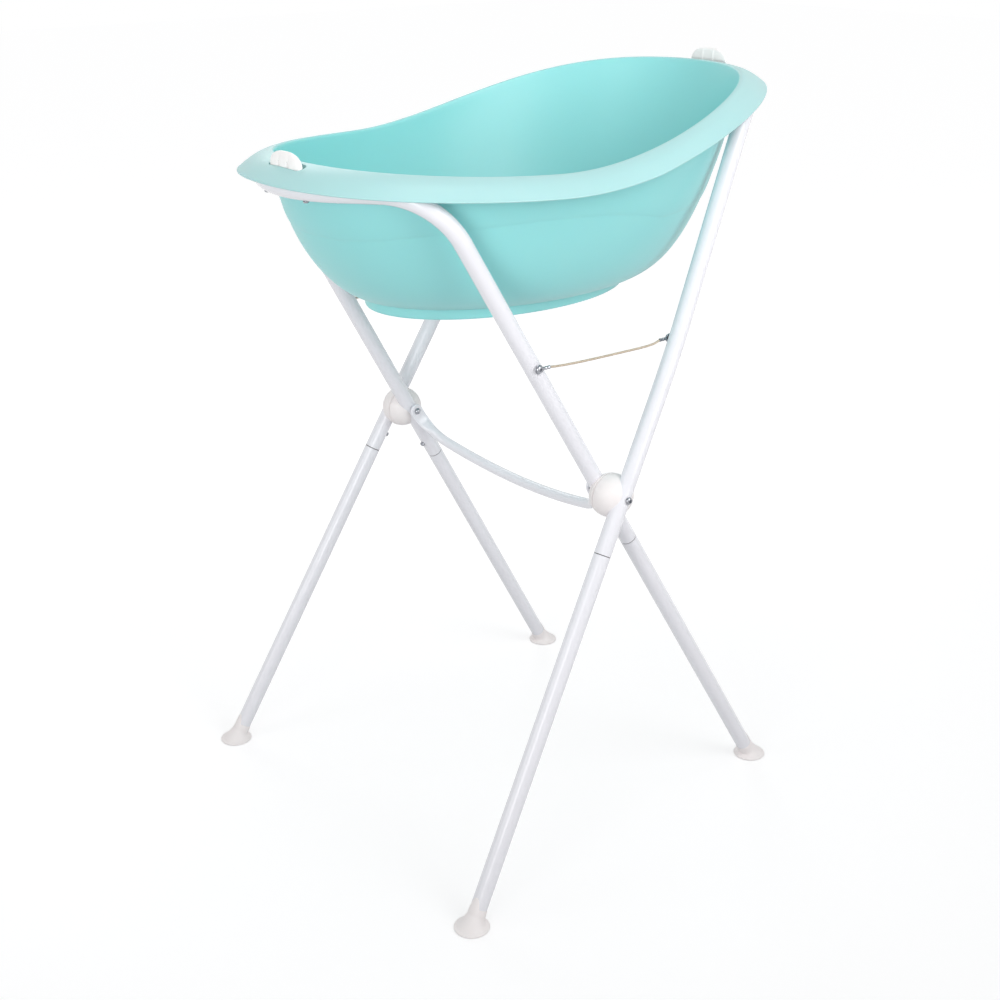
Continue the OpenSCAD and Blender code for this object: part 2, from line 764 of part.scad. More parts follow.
module stay_cable(s) {
  rings = [for (k = [0:cable_rings]) cable_ring(s, k)];
  m = cable_sides;
  points = concat([for (r = rings) for (p = r) p], [cable_at(s, 0), cable_at(s, 1)]);
  last = cable_rings * m;
  faces = concat(
    [
      for (k = [0:cable_rings - 1])
        for (i = [0:m - 1])
          [k * m + i, (k + 1) * m + i, (k + 1) * m + (i + 1) % m]
    ],
    [
      for (k = [0:cable_rings - 1])
        for (i = [0:m - 1])
          [k * m + i, (k + 1) * m + (i + 1) % m, k * m + (i + 1) % m]
    ],
    [for (i = [0:m - 1]) [len(points) - 2, i, (i + 1) % m]],
    [for (i = [0:m - 1]) [len(points) - 1, last + (i + 1) % m, last + i]]
  );
  color(tan_coat)
    polyhedron(points = points, faces = faces);
}

module stay_cable_near() {
  stay_cable(-1);
}

module stay_cable_far() {
  stay_cable(1);
}

// Snap button: a domed pin with an inner flange, pressed inwards to free a leg
module snap_button(p, d) {
  w = under(d);
  q = p + w * 4.5;
  flange = q + w * 1.4;
  tip = p + w * (tube_r + button_travel - 0.4);
  color(chrome)
    union() {
      rod(q, flange, button_d / 2 + 1.4);
      rod(q + w * 0.5, tip, button_d / 2);
      intersection() {
        translate(tip - w * (button_d * 0.45))
          sphere(norm([button_d / 2, button_d * 0.45]) - 0.05);
        rod(tip - w, tip + w * 3, button_d / 2 - 0.05);
      }
    }
}

module foot_button_near() {
  snap_button(along_a(button_a, -1), dir_a[0]);
}

module foot_button_far() {
  snap_button(along_a(button_a, 1), dir_a[1]);
}

module head_button_near() {
  snap_button(along_b(button_b, -1), dir_b[0]);
}

module head_button_far() {
  snap_button(along_b(button_b, 1), dir_b[1]);
}

tub_shell();
crossbar();
pivot_bolts();
pivot_nuts();
pivot_washers();
foot_frame_tube();
foot_frame_bosses();
foot_frame_leg_near();
foot_frame_leg_far();
foot_frame_pad_near();
foot_frame_pad_far();
foot_catch();
foot_catch_screws();
foot_frame_cable_screws();
foot_frame_cable_eyes();
stay_cable_near();
stay_cable_far();
head_frame_tube();
head_frame_bosses();
head_frame_leg_near();
head_frame_leg_far();
head_frame_pad_near();
head_frame_pad_far();
head_catch();
head_catch_screws();
head_frame_cable_screws();
head_frame_cable_eyes();
foot_button_near();
foot_button_far();
head_button_near();
head_button_far();
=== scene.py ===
import json
import math
import bmesh
import bpy
import numpy as np
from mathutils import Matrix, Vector


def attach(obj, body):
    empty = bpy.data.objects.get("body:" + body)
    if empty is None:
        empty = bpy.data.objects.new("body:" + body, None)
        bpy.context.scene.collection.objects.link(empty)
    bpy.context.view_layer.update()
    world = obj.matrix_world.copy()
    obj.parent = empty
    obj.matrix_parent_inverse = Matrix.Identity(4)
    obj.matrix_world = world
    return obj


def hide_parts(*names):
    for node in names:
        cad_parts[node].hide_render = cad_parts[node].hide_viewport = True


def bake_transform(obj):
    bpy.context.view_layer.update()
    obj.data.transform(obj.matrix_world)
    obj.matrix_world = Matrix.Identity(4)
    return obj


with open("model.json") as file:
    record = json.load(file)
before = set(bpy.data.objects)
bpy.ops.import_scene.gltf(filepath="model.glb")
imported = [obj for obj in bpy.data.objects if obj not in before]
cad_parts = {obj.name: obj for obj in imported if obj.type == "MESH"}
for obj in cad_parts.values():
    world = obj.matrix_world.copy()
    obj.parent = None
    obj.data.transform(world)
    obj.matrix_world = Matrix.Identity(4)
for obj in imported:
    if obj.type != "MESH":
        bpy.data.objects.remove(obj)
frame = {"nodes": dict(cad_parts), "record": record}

scene = bpy.context.scene
nodes = frame["nodes"]
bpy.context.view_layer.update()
MM = 0.001

# Sizes of the object in millimetres: tub
HALF_L = 390.0
TUB_W = 504.0
RIM_Z = 908.0
HEAD_RISE = 80.0
FOOT_RISE = 12.0
BAND_DROP = 20.5
LIP_H = 0.5
CROWN = 3.0
WALL = 3.0
BASE_Z = 720.0
BASE_H = 14.0
BAND_SIDE = 30.0
BAND_FOOT = 44.0
BAND_HEAD = 66.0
WIDE_X = 4.0
RIDGE_B = TUB_W / 2 - BAND_SIDE
FOOT_TIP = -HALF_L + BAND_FOOT
HEAD_TIP = HALF_L - BAND_HEAD
RIDGE_AF = WIDE_X - FOOT_TIP
RIDGE_AH = HEAD_TIP - WIDE_X
BASE_X = -0.115 * HALF_L
BASE_A = 0.497 * HALF_L
BASE_B = 0.5675 * RIDGE_B
RISE_1 = -0.29 * HALF_L
RISE_2 = 0.867 * HALF_L
WALL_Z = BASE_Z + BASE_H
WALL_END = 7.0
FOOT_POWER = 2.25
HEAD_POWER = 2.04
EDGE_POWER = 1.78
SWELL_START_FOOT = 1.93
SWELL_START_HEAD = 0.954
SWELL_END_FOOT = 1.534
SWELL_END_HEAD = 2.56
STEP_Z = 854.0
STEP_FALL = 23.0
STEP_MID = -130.0
STEP_REACH = 198.0

# Sizes of the object in millimetres: frames, fittings and cables
TUBE_R = 11.0
PIVOT_X = -0.11 * HALF_L
PIVOT_Z = 497.0
PIVOT_GAP = 18.2
LEAN_A = 0.0625
LEAN_B = 0.0896
LEG_SPLIT_A = -93.0
LEG_SPLIT_B = -76.0
BOLT_R = 4.0
BAR_R = 7.0
PADDLE_T = 4.4
PAD_FLOOR = 7.0
CATCH_W = 62.0
CATCH_H = 15.0
CATCH_T = 5.5
SCREW_Y = 42.0
CABLE_R = 212.0
CABLE_D = 3.0
EYE_R = 6.0
EYE_T = 1.6
FERRULE_0 = 5.0
FERRULE_L = 12.0


# Small maths
def unit(v):
    v = np.asarray(v, float)
    return v / np.linalg.norm(v)


def mix(a, b, t):
    """Value at the share t of the way from a to b."""
    return a + (b - a) * t


def ease(u):
    """Smooth step from 0 to 1."""
    v = np.clip(u, 0, 1)
    return v * v * (3 - 2 * v)


def spow(c, e):
    """Power that keeps the sign of c."""
    return np.sign(c) * np.abs(c) ** e


def across(d):
    """Two unit vectors square to the direction d."""
    u = unit(np.cross([0, 1, 0] if abs(d[1]) < 0.9 else [1, 0, 0], d))
    return u, np.cross(d, u)


# Mesh helpers: all take millimetres
def loft(rings, closed=False):
    """Quads between rings of equal length, with a cap at each end unless the row is closed."""
    rings = [np.asarray(r, float) for r in rings]
    n = len(rings[0])
    rows = len(rings)
    verts = list(np.vstack(rings))
    faces = []
    for k in range(rows if closed else rows - 1):
        a = k * n
        b = (k + 1) % rows * n
        for i in range(n):
            j = (i + 1) % n
            faces.append((a + i, a + j, b + j, b + i))
    if not closed:
        for k in (0, rows - 1):
            c = len(verts)
            verts.append(rings[k].mean(axis=0))
            faces += [(k * n + i, k * n + (i + 1) % n, c) for i in range(n)]
    return verts, faces


def turned(p, d, profile, n=48, six=()):
    """Turned body from p along d, by (radius, height); the rows named in six are hexagonal."""
    u, v = across(d)
    a = 2 * np.pi * np.arange(n) / n
    hexed = 1 / np.cos((a + np.pi / 6) % (np.pi / 3) - np.pi / 6)
    rings = []
    for k, (r, h) in enumerate(profile):
        rad = r * (hexed if k in six else 1.0) * np.ones(n)
        centre = np.asarray(p) + np.asarray(d) * h
        rings.append(centre + np.outer(rad * np.cos(a), u) + np.outer(rad * np.sin(a), v))
    return loft(rings)


def revolved(p, d, section, n=64):
    """Ring round the line p + d, from a closed section of (radius, height)."""
    u, v = across(d)
    rows = []
    for f in 2 * np.pi * np.arange(n) / n:
        way = u * math.cos(f) + v * math.sin(f)
        rows.append([np.asarray(p) + way * r + np.asarray(d) * h for r, h in section])
    return loft(rows, closed=True)


def merged(parts):
    """Several shapes as one."""
    verts = []
    faces = []
    for v, f in parts:
        faces += [tuple(i + len(verts) for i in face) for face in f]
        verts += list(v)
    return verts, faces


def make(name, shape):
    """Object made of a shape, with all faces outwards and shaded smooth."""
    me = bpy.data.meshes.new(name)
    me.from_pydata([tuple(v) for v in np.asarray(shape[0]) * MM], [], shape[1])
    bm = bmesh.new()
    bm.from_mesh(me)
    bmesh.ops.recalc_face_normals(bm, faces=bm.faces)
    bm.to_mesh(me)
    bm.free()
    me.polygons.foreach_set("use_smooth", [True] * len(me.polygons))
    ob = bpy.data.objects.new(name, me)
    scene.collection.objects.link(ob)
    return ob


def sharpen(ob, degrees):
    """Shade smooth, but keep edges sharper than the angle."""
    bm = bmesh.new()
    bm.from_mesh(ob.data)
    for e in bm.edges:
        e.smooth = len(e.link_faces) == 2 and e.calc_face_angle(0) < math.radians(degrees)
    bm.to_mesh(ob.data)
    bm.free()


# Materials: depths of the fine bump and of the glow in metres
GRAIN_DEPTH = 0.0002
GLOW_DEPTH = 0.004


def tree(name):
    """New material, with its node tree, its main shader and the coordinates on the object."""
    m = bpy.data.materials.new(name)
    m.use_nodes = True
    nt = m.node_tree
    co = nt.nodes.new("ShaderNodeTexCoord")
    return m, nt, nt.nodes["Principled BSDF"], co.outputs["Object"]


def noise(nt, co, scale, detail=3.0):
    n = nt.nodes.new("ShaderNodeTexNoise")
    n.inputs["Scale"].default_value = scale
    n.inputs["Detail"].default_value = detail
    nt.links.new(co, n.inputs["Vector"])
    return n.outputs["Fac"]


def ramp(nt, fac, dark, light):
    """Colour between dark and light, by the noise."""
    r = nt.nodes.new("ShaderNodeValToRGB")
    for el, place, colour in zip(r.color_ramp.elements, (0.3, 0.7), (dark, light)):
        el.position = place
        el.color = (*colour, 1)
    nt.links.new(fac, r.inputs["Fac"])
    return r.outputs["Color"]


def spread(nt, fac, lo, hi):
    """Noise stretched to the range from lo to hi."""
    r = nt.nodes.new("ShaderNodeMapRange")
    r.inputs["From Min"].default_value = 0.3
    r.inputs["From Max"].default_value = 0.7
    r.inputs["To Min"].default_value = lo
    r.inputs["To Max"].default_value = hi
    nt.links.new(fac, r.inputs["Value"])
    return r.outputs["Result"]


def relief(nt, b, height, strength):
    """Fine surface bump."""
    n = nt.nodes.new("ShaderNodeBump")
    n.inputs["Strength"].default_value = strength
    n.inputs["Distance"].default_value = GRAIN_DEPTH
    nt.links.new(height, n.inputs["Height"])
    nt.links.new(n.outputs["Normal"], b.inputs["Normal"])


def plastic(name, dark, light, rough, grain, big, spec=0.5, coat=0.0, glow=0.0):
    """Moulded or painted surface: big is the scale of its cloudy tone, grain the force of its fine bump."""
    m, nt, b, co = tree(name)
    nt.links.new(ramp(nt, noise(nt, co, big, 4.0), dark, light), b.inputs["Base Color"])
    nt.links.new(spread(nt, noise(nt, co, big * 5), rough - 0.015, rough + 0.02), b.inputs["Roughness"])
    b.inputs["Specular IOR Level"].default_value = spec
    b.inputs["Coat Weight"].default_value = coat
    b.inputs["Coat Roughness"].default_value = 0.6 * rough
    b.inputs["Subsurface Weight"].default_value = glow
    b.inputs["Subsurface Scale"].default_value = GLOW_DEPTH
    relief(nt, b, noise(nt, co, 1100.0, 2.0), grain)
    return m


def painted_rim_light(m, dark, light):
    """Paler tone on the rim band of the tub: painted light, the pale sheen that the lamps give the
    upward-facing band.
    """
    nt = m.node_tree
    b = nt.nodes["Principled BSDF"]
    body = b.inputs["Base Color"].links[0].from_socket
    co = nt.nodes["Texture Coordinate"].outputs["Object"]
    rim = nt.nodes.new("ShaderNodeAttribute")
    rim.attribute_name = "rim_light_mask"
    blend = nt.nodes.new("ShaderNodeMix")
    blend.data_type = "RGBA"
    nt.links.new(rim.outputs["Fac"], blend.inputs["Factor"])
    nt.links.new(body, blend.inputs["A"])
    nt.links.new(ramp(nt, noise(nt, co, 9.0, 4.0), dark, light), blend.inputs["B"])
    nt.links.new(blend.outputs["Result"], b.inputs["Base Color"])


def metal(name, dark, light, rough):
    """Plated metal with a slightly uneven tone and gloss."""
    m, nt, b, co = tree(name)
    nt.links.new(ramp(nt, noise(nt, co, 220.0, 4.0), dark, light), b.inputs["Base Color"])
    nt.links.new(spread(nt, noise(nt, co, 500.0), rough - 0.04, rough + 0.06), b.inputs["Roughness"])
    b.inputs["Metallic"].default_value = 1.0
    relief(nt, b, noise(nt, co, 1500.0, 2.0), 0.06)
    return m


mint = plastic("tub_mint", (0.262, 0.682, 0.682), (0.272, 0.694, 0.694),
               rough=0.44, grain=0.05, big=5.0, spec=0.8, coat=0.15, glow=0.06)
# Painted light: the rim band gets paler colours, standing in for the sheen of the lamps on it
painted_rim_light(mint, (0.368, 0.650, 0.655), (0.386, 0.664, 0.669))
paint = plastic("frame_white", (0.830, 0.828, 0.872), (0.842, 0.840, 0.882),
                rough=0.20, grain=0.012, big=3.0, spec=0.5, coat=0.2)
cream = plastic("fitting_cream", (0.888, 0.842, 0.838), (0.912, 0.870, 0.866),
                rough=0.45, grain=0.10, big=18.0, spec=0.4)
white = plastic("catch_white", (0.945, 0.922, 0.914), (0.958, 0.938, 0.930),
                rough=0.32, grain=0.06, big=20.0)
bright = metal("bright_plate", (0.30, 0.31, 0.34), (0.42, 0.43, 0.46), rough=0.14)
rope = plastic("cable_coat", (0.480, 0.390, 0.295), (0.590, 0.490, 0.385),
               rough=0.40, grain=0.10, big=160.0)
# Painted shade: dark grey for the shaded gaps where the legs join the frame tubes
gap_shade = plastic("gap_shade_grey", (0.110, 0.105, 0.110), (0.150, 0.145, 0.150),
               rough=0.60, grain=0.10, big=90.0, spec=0.2)
FINISH = {
    "tub_plastic": mint,
    "frame_paint": paint,
    "fitting_plastic": cream,
    "catch_plastic": white,
    "bright_metal": bright,
    "cable_coat": rope,
}


def place(ob, slot, body, *stands_for):
    """Give a piece its finish and its body, and hide the solids that it stands for."""
    ob.data.materials.clear()
    ob.data.materials.append(FINISH[slot])
    if body:
        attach(ob, body)
    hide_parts(*stands_for)


for part in frame["record"]["subparts"]:
    solid = nodes[part["node"]]
    solid.data.materials.clear()
    solid.data.materials.append(FINISH[part["material_slot"]])


# Tub: one smooth moulding, lofted through rings from the underside over the rim to the inner floor
NA = 288
TH = 2 * np.pi * (np.arange(NA) + 0.5) / NA
FOOT_SHARE = (1 - np.cos(TH)) / 2


def oval(af, ah, b, x0, pf, ph):
    """Plan of a ring: half lengths and powers for the foot and head end, and a half width."""
    c = np.cos(TH)
    s = np.sin(TH)
    n = np.where(c < 0, pf, ph)
    return np.stack([x0 + np.where(c < 0, af, ah) * spow(c, 2 / n), b * spow(s, 2 / n)], axis=1)


def ridge_xy(d):
    """Plan of the ridge, d outwards."""
    return oval(RIDGE_AF + d, RIDGE_AH + d, RIDGE_B + d, WIDE_X, FOOT_POWER, HEAD_POWER)


def edge_xy(d):
    """Plan of the rim's outer edge, d outwards."""
    af = RIDGE_AF + BAND_FOOT + d
    ah = RIDGE_AH + BAND_HEAD + d
    return oval(af, ah, RIDGE_B + BAND_SIDE + d, WIDE_X, FOOT_POWER, EDGE_POWER)


def base_xy(d):
    """Plan of the base ring, d outwards."""
    return oval(BASE_A + d, BASE_A + d, BASE_B + d, BASE_X, 2.0, 2.0)


def ridge_z(x):
    """Height of the ridge, which rises towards both ends."""
    head = HEAD_RISE * ease((x - RISE_1) / (RISE_2 - RISE_1))
    return RIM_Z + head + FOOT_RISE * np.maximum(0, (RISE_1 - x) / (RISE_1 - FOOT_TIP)) ** 1.5


RZ = ridge_z(ridge_xy(0)[:, 0])


def swell(t):
    """Share of the way from the base to the ridge in plan, steeper at the foot end."""
    start = mix(SWELL_START_HEAD, SWELL_START_FOOT, FOOT_SHARE)
    end = mix(SWELL_END_HEAD, SWELL_END_FOOT, FOOT_SHARE)
    return ((1 - (1 - t) ** start) ** (1 / end))[:, None]


def level(xy, z):
    """Ring with the plan xy at the height z."""
    return np.column_stack([xy, np.broadcast_to(z, len(xy))])


def outer(t, d):
    """Ring of the outer wall at the share t of its height, d outwards."""
    p = mix(base_xy(3), ridge_xy(-3), swell(t))
    q = p - base_xy(0)
    q = q / np.maximum(0.001, np.linalg.norm(q, axis=1))[:, None]
    return level(p + d * q, mix(WALL_Z, RZ - WALL_END, t))


# Faint line round the outer wall, highest near the middle of the side: the share of the rise it lies at
STEP_X = np.minimum(np.abs(outer(0.65, 0)[:, 0] - STEP_MID) / STEP_REACH, 1)
STEP_T = (STEP_Z - STEP_FALL * STEP_X ** 2 - WALL_Z) / (RZ - WALL_END - WALL_Z)


def inner(t):
    """Ring of the inner wall at the share t of its height."""
    plan = mix(base_xy(3 - 1.1 * WALL), ridge_xy(-4.2), swell(t))
    return level(plan, mix(WALL_Z + WALL, RZ - 3, t))


def band(g, dz):
    """Ring of the rim band at the share g from the ridge to the edge."""
    fall = mix(0.4, BAND_DROP - 0.4, g) - CROWN * math.sin(math.pi * g)
    return level(mix(ridge_xy(2.5), edge_xy(-1.2), g), RZ - fall + dz)


def shrink(ring, k):
    """Ring drawn in to the share k, about the middle of the base."""
    c = np.array([BASE_X, 0, ring[0][2]])
    return c + (ring - c) * np.array([k, k, 1])


def tub_rings():
    """All rings of the tub, from the middle of the underside to the middle of the inner floor."""
    under = level(base_xy(-6), WALL_Z - 3)
    floor = inner(0.0)
    low = -BAND_DROP - 0.6 * WALL - LIP_H
    foot_ring = (
        (-5.9, 8.0), (-5.6, 3.0), (-5.2, 1.2), (-4.5, 0.2), (-3.8, 0.0), (-1.8, 0.0), (-0.9, 0.25),
        (-0.3, 1.1), (-0.1, 3.0), (0.1, 8.0), (0.2, 12.0), (0.6, 13.4), (1.6, 14.0),
    )
    step = (
        (0.0, 0.0), (0.3, 0.12), (0.8, 0.28), (2.0, 0.52), (4.0, 0.84), (8.0, 1.2), (13.0, 1.38),
        (20.0, 1.4),
    )
    lip = (
        (-2.6, low + 0.5), (-2.0, low + 0.15), (-1.4, low), (-0.8, low + 0.1), (-0.3, low + 0.45),
        (-0.05, low + 1.0), (0.0, -BAND_DROP - 0.9), (-0.2, -BAND_DROP - 0.4), (-0.6, -BAND_DROP - 0.02),
    )
    crest = (
        (1.3, -0.02), (0.3, 0.02), (-0.8, 0.0), (-1.8, -0.1), (-2.6, -0.4), (-3.2, -1.0), (-3.6, -1.8),
        (-3.9, -2.8),
    )
    tall = RZ - WALL_END - WALL_Z
    fall = (np.linspace(0.05, 0.967, 42) ** 2.1)[::-1]
    rings = [shrink(under, k) for k in (0.12, 0.4, 0.7, 0.9, 0.97, 1.0)]
    rings += [level(base_xy(d), BASE_Z + z) for d, z in foot_ring]
    rings += [outer(STEP_T * v ** 2.1, 0) for v in np.linspace(0.06, 0.998, 34)]
    rings += [outer(STEP_T + h / tall, d) for h, d in step]
    step_top, step_out = step[-1]
    above = STEP_T + step_top / tall
    rings += [outer(mix(above, 0.965, v), step_out) for v in (0.25, 0.45, 0.65, 0.85, 1.0)]
    rings += [outer(0.99, 1.5), band(0.03, -6.6), band(0.08, -5.2), band(0.14, -4.2)]
    rings += [band(g, -WALL) for g in (0.25, 0.4, 0.55, 0.7, 0.82, 0.91)]
    rings += [level(edge_xy(d), RZ + z) for d, z in lip]
    rings += [band(g, 0) for g in (0.985, 0.95, 0.88, 0.78, 0.66, 0.54, 0.42, 0.3, 0.19, 0.1, 0.04)]
    rings += [level(ridge_xy(d), RZ + z) for d, z in crest]
    rings += [inner(t) for t in (0.985, 0.965, 0.94)]
    rings += [inner(t) for t in fall[fall < 0.92]]
    rings += [shrink(floor, k) for k in (1.0, 0.95, 0.85, 0.65, 0.4, 0.12)]
    return rings


# Each catch stands in a slot of the rim: places of its plate along the length, as in the solids
CATCH_OFF_A = 10.0
CATCH_OFF_B = 14.0
TAB_W = 66.8
TAB_TALL = 22.0
GROOVE_Y = 9.5
SLOT_PLAY = 0.8
SLOT_CORNER = 7.0
SLOT_OUTWARD = 3.0
CUT_BELOW = 30.0
CUT_ABOVE = 60.0


def slot_cutter(tip, dx, off, inward, z):
    """Upright block with round ends that cuts a slot through the rim band."""
    near = tip + dx * (off - inward)
    far = tip + dx * (off + CATCH_T + SLOT_OUTWARD)
    half = TAB_W / 2 + SLOT_PLAY
    r = SLOT_CORNER
    points = []
    for k in range(36):
        a = math.radians(k * 10 + 5)
        x = (near + far) / 2 + math.copysign(abs(far - near) / 2 - r, math.cos(a)) + r * math.cos(a)
        y = math.copysign(half - r, math.sin(a)) + r * math.sin(a)
        points.append((x, y))
    return make("cutter", loft([[(x, y, h) for x, y in points] for h in (z - CUT_BELOW, z + CUT_ABOVE)]))


def cut(ob, cutters):
    """Take the cutters out of an object for good, and remove them."""
    for c in cutters:
        m = ob.modifiers.new("cut", "BOOLEAN")
        m.operation = "DIFFERENCE"
        m.solver = "EXACT"
        m.object = c
    bpy.context.view_layer.update()
    done = bpy.data.meshes.new_from_object(ob.evaluated_get(bpy.context.evaluated_depsgraph_get()))
    ob.modifiers.clear()
    ob.data = done
    for c in cutters:
        bpy.data.objects.remove(c)


tub = make("tub_moulding", loft(tub_rings()))
cut(tub, [
    slot_cutter(FOOT_TIP, -1, CATCH_OFF_A, inward=6.0, z=RIM_Z + FOOT_RISE),
    slot_cutter(HEAD_TIP, 1, CATCH_OFF_B, inward=8.5, z=RIM_Z + HEAD_RISE),
])
sharpen(tub, 40)
spots = np.array([v.co[:] for v in tub.data.vertices]) / MM
reach = np.where(spots[:, 0] < WIDE_X, RIDGE_AF, RIDGE_AH)
power = np.where(spots[:, 0] < WIDE_X, FOOT_POWER, HEAD_POWER)
wide = np.abs((spots[:, 0] - WIDE_X) / reach) ** power + np.abs(spots[:, 1] / RIDGE_B) ** power
# The painted rim light starts just inside the ridge, where wide is 1, and fades in over a few millimetres
RIM_FROM = 0.974
RIM_FADE = 0.014
rim_light_mask = tub.data.attributes.new("rim_light_mask", "FLOAT", "POINT")
rim_light_mask.data.foreach_set("value", np.clip((wide - RIM_FROM) / RIM_FADE, 0, 1))
place(tub, "tub_plastic", "tub", "tub_shell")


# Lines of the two frames
CORNER_A = np.array([-0.719 * HALF_L, 0.8181 * RIDGE_B, RIM_Z - 10.5])
CORNER_B = np.array([0.5453 * HALF_L, 0.838 * RIDGE_B, RIM_Z + 0.48 * HEAD_RISE])
PIVOT_YA = CORNER_A[1] + LEAN_A * (CORNER_A[2] - PIVOT_Z)
PIVOT_YB = PIVOT_YA + 2 * TUBE_R + PIVOT_GAP
KNEE_Z = mix(PIVOT_Z, CORNER_B[2], 0.37)
KNEE_Y = PIVOT_YB - LEAN_B * (KNEE_Z - PIVOT_Z)
RUN_A = (CORNER_A[0] - PIVOT_X) / (CORNER_A[2] - PIVOT_Z)
RUN_B = (CORNER_B[0] - PIVOT_X) / (CORNER_B[2] - PIVOT_Z)


def axis_a(z, s):
    """Point on the line of the foot-end frame at the height z, on the side s."""
    return np.array([PIVOT_X + RUN_A * (z - PIVOT_Z), s * (PIVOT_YA - LEAN_A * (z - PIVOT_Z)), z])


def axis_b(z, s):
    """Point on the line of the head-end frame at the height z, on the side s."""
    return np.array([PIVOT_X + RUN_B * (z - PIVOT_Z), s * (PIVOT_YB - LEAN_B * (z - PIVOT_Z)), z])


def heading(axis, s):
    """Direction up a frame's line."""
    return unit(axis(1, s) - axis(0, s))


# Foot pads: a thin disc that flares up into a neck round the leg, with a tongue up its outer side
NECK_TOP = 18.0
TONGUE = 13.0


def pad(p, d):
    """Foot pad on the floor point p of a leg that runs up along d."""
    n = 96
    a = 2 * np.pi * np.arange(n) / n
    q = p + d * (PAD_FLOOR / d[2])
    flat = unit([d[0], d[1], 0])
    side = np.cross([0, 0, 1], flat)
    lean = np.cross(side, d)

    def disc(r, z):
        return np.array([p[0], p[1], z]) + r * (np.outer(np.cos(a), flat) + np.outer(np.sin(a), side))

    def neck(r, h):
        h = np.broadcast_to(h, n)
        return q + np.outer(h, d) + r * (np.outer(np.cos(a), lean) + np.outer(np.sin(a), side))

    tongue = TONGUE * np.clip((np.cos(a - np.pi) - 0.74) / 0.24, 0, 1)
    rim = (
        (8, 0), (18, 0), (21.4, 0), (22.4, 0.3), (23, 1.1),
        (23, 1.9), (22.6, 2.5), (21.6, 3.0), (20.4, 3.5), (19.0, 4.2),
    )
    rows = [disc(r, z) for r, z in rim]
    for k in range(1, 15):
        w = ease(k / 15)
        rows.append(mix(disc(19.0 - 0.42 * k, 4.2 + 0.36 * k), neck(13.2 - 0.1 * k, 2.0 + 0.5 * k), w))
    for k in range(0, 9):
        v = k / 8
        rows.append(neck(12.0 - 0.4 * v, mix(10.0, NECK_TOP + tongue - 0.5, v)))
    rows.append(neck(11.45, NECK_TOP + tongue - 0.2))
    rows.append(neck(11.2, NECK_TOP + tongue))
    rows.append(neck(11.05, NECK_TOP + tongue - 0.2))
    rows.append(neck(11.05, 5.0))
    return loft(rows)


for frame_name, axis in (("foot_frame", axis_a), ("head_frame", axis_b)):
    for side_name, s in (("near", -1), ("far", 1)):
        ob = make(f"{frame_name}_foot_{side_name}", pad(axis(0, s), heading(axis, s)))
        place(ob, "fitting_plastic", frame_name, f"{frame_name}_pad_{side_name}")


# Crossbar: a round bar, bowed along the legs of the foot-end frame, pressed flat at the pivots
PADDLE_Y = PIVOT_YA - TUBE_R - 2.6
DOWN = unit([-RUN_A, 0, -1])
FLAT_R = 10.0
BAR_START = 7.5
BAR_BEND = 45.0
BAR_TURN = math.radians(76)
BAR_SETBACK = 0.3
BAR_Y = PADDLE_Y - BAR_R - BAR_SETBACK
BOW_Y = BAR_Y - BAR_BEND + BAR_BEND * math.cos(BAR_TURN)
BOW_R = BOW_Y / math.cos(BAR_TURN)
BOW_O = BAR_START + BAR_BEND * math.sin(BAR_TURN) - BOW_R * math.sin(BAR_TURN)


def bar_stations():
    """Half of the bar, from the flat end to the middle: place, turn, thickness and width."""
    out = []
    for s in -FLAT_R * np.cos(np.linspace(0.06, np.pi / 2, 12)):
        out.append((PADDLE_Y - PADDLE_T / 2, s, 0.0, PADDLE_T, 2 * math.sqrt(FLAT_R ** 2 - s * s)))
    for s in np.linspace(1, BAR_START, 5):
        out.append((PADDLE_Y - PADDLE_T / 2, s, 0.0, PADDLE_T, 2 * FLAT_R))
    for f in np.linspace(0.03, 1, 34) * BAR_TURN:
        w = float(ease((f * BAR_BEND - 3) / 34))
        thick = mix(PADDLE_T, 2 * BAR_R, w)
        r = BAR_BEND + BAR_R - thick / 2 + BAR_SETBACK
        y = BAR_Y - BAR_BEND + r * math.cos(f)
        s = BAR_START + r * math.sin(f)
        out.append((y, s, f, thick, mix(2 * FLAT_R, 2 * BAR_R, w)))
    for f in np.linspace(BAR_TURN, np.pi / 2, 24)[1:]:
        r = BOW_R + BAR_SETBACK
        y = r * math.cos(f)
        s = BOW_O + r * math.sin(f)
        out.append((y, s, f, 2 * BAR_R, 2 * BAR_R))
    return out


def bar_ring(sign, y, s, f, thick, width):
    """Section of the bar at one station, on the side given by the sign."""
    n = 40
    a = 2 * np.pi * np.arange(n) / n
    power = 2 / mix(3.2, 2.0, float(ease((thick - PADDLE_T) / (2 * BAR_R - PADDLE_T))))
    centre = np.array([PIVOT_X, sign * y, PIVOT_Z]) + DOWN * s
    out = np.array([0, sign * math.cos(f), 0]) + DOWN * math.sin(f)
    wide = np.cross([0, 1, 0], DOWN)
    return (centre + np.outer(thick / 2 * spow(np.cos(a), power), out)
            + np.outer(width / 2 * spow(np.sin(a), power), wide))


half_bar = bar_stations()
bar_rows = [bar_ring(1, *st) for st in half_bar] + [bar_ring(-1, *st) for st in half_bar[-2::-1]]
place(make("crossbar_bar", loft(bar_rows)), "frame_paint", "pivot_axle", "crossbar")


# Pivot bolts with a socket in the domed head outside, and acorn nuts inside
HEAD_R = 0.72 * 2 * BOLT_R
HEAD_Y = PIVOT_YB + TUBE_R + 0.3 + HEAD_R * LEAN_B
NUT_Y = PADDLE_Y - PADDLE_T


